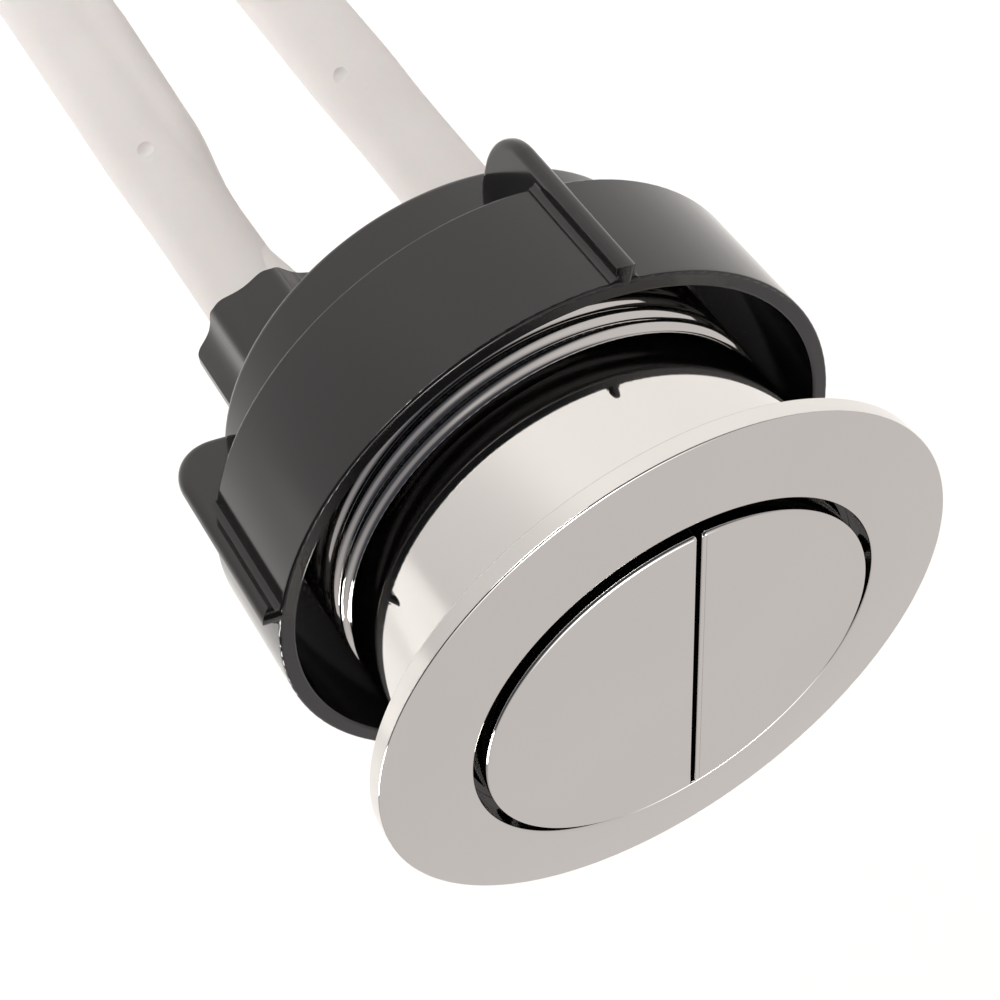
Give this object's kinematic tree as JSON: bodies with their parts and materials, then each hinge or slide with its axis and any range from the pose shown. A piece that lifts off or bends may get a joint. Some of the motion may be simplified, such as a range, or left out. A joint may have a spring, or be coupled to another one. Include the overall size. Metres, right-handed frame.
{
  "type": "push button cistern actuator",
  "caption": "Dual-flush push button for a cistern lid, with half-moon chrome caps in a round bezel, a winged lock nut under the lid and push rods for the flush valve.",
  "frame": {"origin": "on the button's axis, at the height of the flange's seat on the lid", "axes": "+Z along the button's axis, up out of the lid; +X towards the full-flush button"},
  "size_m": [0.0608, 0.0608, 0.1933],
  "materials": {
    "chrome": "polished plating on plastic",
    "black_plastic": "semi-gloss moulding",
    "white_plastic": "off-white satin moulding",
    "spring_steel": "drawn wire"
  },
  "bodies": {
    "housing": {"bezel": "chrome", "guide_cup": "black_plastic", "full_return_spring": "spring_steel", "half_return_spring": "spring_steel"},
    "full_button": {"full_button_cap": "chrome", "full_plunger": "black_plastic"},
    "half_button": {"half_button_cap": "chrome", "half_plunger": "black_plastic"},
    "full_rod_nut": {"full_rod_nut": "black_plastic"},
    "half_rod_nut": {"half_rod_nut": "black_plastic"},
    "full_rod": {"full_push_rod": "white_plastic"},
    "half_rod": {"half_push_rod": "white_plastic"},
    "lock_nut": {"lock_nut": "black_plastic"}
  },
  "joints": [
    {"name": "full_button_press", "type": "slide", "parent": "housing", "child": "full_button", "axis": [0, 0, -1], "range_m": [0, 0.008], "stiffness_N_per_m": 500, "springref_m": -0.01, "deforming": ["full_return_spring"]},
    {"name": "full_rod_nut_turn", "type": "hinge", "parent": "full_button", "child": "full_rod_nut", "pos_m": [0.0126, 0, -0.049], "axis": [0, 0, 1], "range_deg": [0, 180]},
    {"name": "full_rod_adjust", "type": "slide", "parent": "full_button", "child": "full_rod", "axis": [0, 0, -1], "range_m": [0, 0.02]},
    {"name": "half_button_press", "type": "slide", "parent": "housing", "child": "half_button", "axis": [0, 0, -1], "range_m": [0, 0.008], "stiffness_N_per_m": 500, "springref_m": -0.01, "deforming": ["half_return_spring"]},
    {"name": "half_rod_nut_turn", "type": "hinge", "parent": "half_button", "child": "half_rod_nut", "pos_m": [-0.0126, 0, -0.049], "axis": [0, 0, 1], "range_deg": [0, 180]},
    {"name": "half_rod_adjust", "type": "slide", "parent": "half_button", "child": "half_rod", "axis": [0, 0, -1], "range_m": [0, 0.02]},
    {"name": "lock_nut_run", "type": "slide", "parent": "housing", "child": "lock_nut", "axis": [0, 0, 1], "range_m": [-0.005, 0.0125]}
  ]
}
